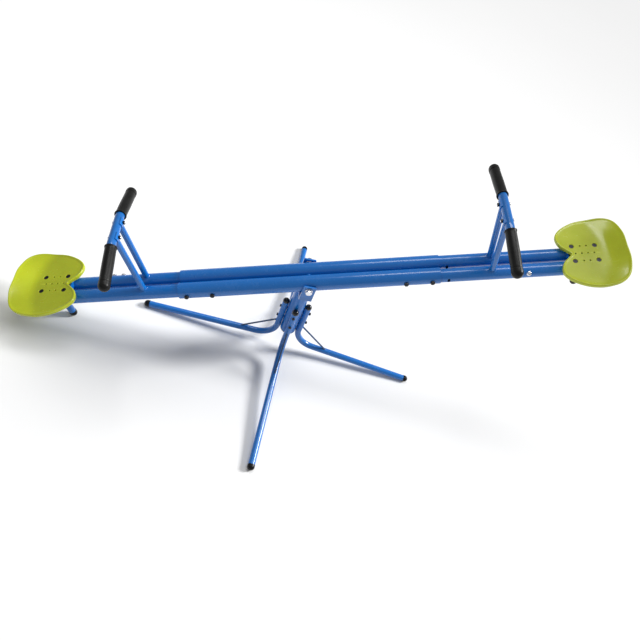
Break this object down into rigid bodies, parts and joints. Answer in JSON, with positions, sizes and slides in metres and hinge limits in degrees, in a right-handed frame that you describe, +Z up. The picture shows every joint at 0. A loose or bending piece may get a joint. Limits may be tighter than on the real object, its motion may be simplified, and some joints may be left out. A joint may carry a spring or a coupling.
{
  "type": "seesaw",
  "caption": "Swivelling tubular-steel seesaw: a twin-tube beam with bucket seats and handlebars tilts on a clevis that turns on a post with splayed legs.",
  "frame": {"origin": "on the ground under the swivel axis, midway between the four feet", "axes": "+Z up; +X along the beam towards its raised, pulled-out end; +Y to the far side"},
  "size_m": [1.7348, 0.9846, 0.8529],
  "materials": {
    "blue_paint": "gloss powder coat",
    "brace_steel": "dark blue paint",
    "lime_plastic": "glossy moulded plastic",
    "black_grip": "satin foam rubber",
    "black_rubber": "satin rubber",
    "black_plastic": "moulded plastic",
    "white_nylon": "moulded nylon",
    "bright_steel": "bright zinc",
    "dark_steel": "black zinc",
    "plain_steel": "bare turned steel"
  },
  "bodies": {
    "base": {"centre_post": "blue_paint", "post_cap": "black_plastic", "upper_swivel_bush": "white_nylon", "lower_swivel_bush": "white_nylon", "leg_right": "blue_paint", "leg_rear": "blue_paint", "leg_left": "blue_paint", "leg_front": "blue_paint", "brace_right": "brace_steel", "brace_rear": "brace_steel", "brace_left": "brace_steel", "brace_front": "brace_steel", "leg_top_caps": "black_plastic", "foot_caps": "black_rubber", "leg_bolts": "dark_steel", "leg_nuts": "dark_steel"},
    "swivel_head": {"clevis": "blue_paint", "spindle": "plain_steel", "retainer_washer": "plain_steel", "retainer_bolt": "plain_steel", "pivot_bolt": "bright_steel", "pivot_nut": "bright_steel", "pivot_washers": "bright_steel"},
    "beam": {"centre_tube_near": "blue_paint", "centre_tube_far": "blue_paint", "pivot_sleeve": "blue_paint", "end_tube_left_near": "blue_paint", "end_tube_left_far": "blue_paint", "end_tube_right_near": "blue_paint", "end_tube_right_far": "blue_paint", "handle_post_left_near": "blue_paint", "handle_post_left_far": "blue_paint", "handle_post_right_near": "blue_paint", "handle_post_right_far": "blue_paint", "handlebar_left": "blue_paint", "handlebar_right": "blue_paint", "seat_bracket_left": "blue_paint", "seat_bracket_right": "blue_paint", "bumper_left": "blue_paint", "bumper_right": "blue_paint", "seat_left": "lime_plastic", "seat_right": "lime_plastic", "grip_left_near": "black_grip", "grip_left_far": "black_grip", "grip_right_near": "black_grip", "grip_right_far": "black_grip", "bumper_cap_left": "black_rubber", "bumper_cap_right": "black_rubber", "end_tube_plugs": "black_plastic", "pivot_bushes": "white_nylon", "side_screws": "bright_steel", "rivet_nuts": "bright_steel", "handlebar_bolts": "bright_steel", "handlebar_nuts": "bright_steel", "joint_bolts": "dark_steel", "joint_nuts": "dark_steel", "seat_bolts": "dark_steel", "seat_nuts": "dark_steel"}
  },
  "joints": [
    {"name": "swivel", "type": "hinge", "parent": "base", "child": "swivel_head", "pos_m": [0, 0, 0.34], "axis": [0, 0, 1], "continuous": true},
    {"name": "beam_tilt", "type": "hinge", "parent": "swivel_head", "child": "beam", "pos_m": [0, 0, 0.402], "axis": [0, 1, 0], "range_deg": [0, 41.4]}
  ]
}
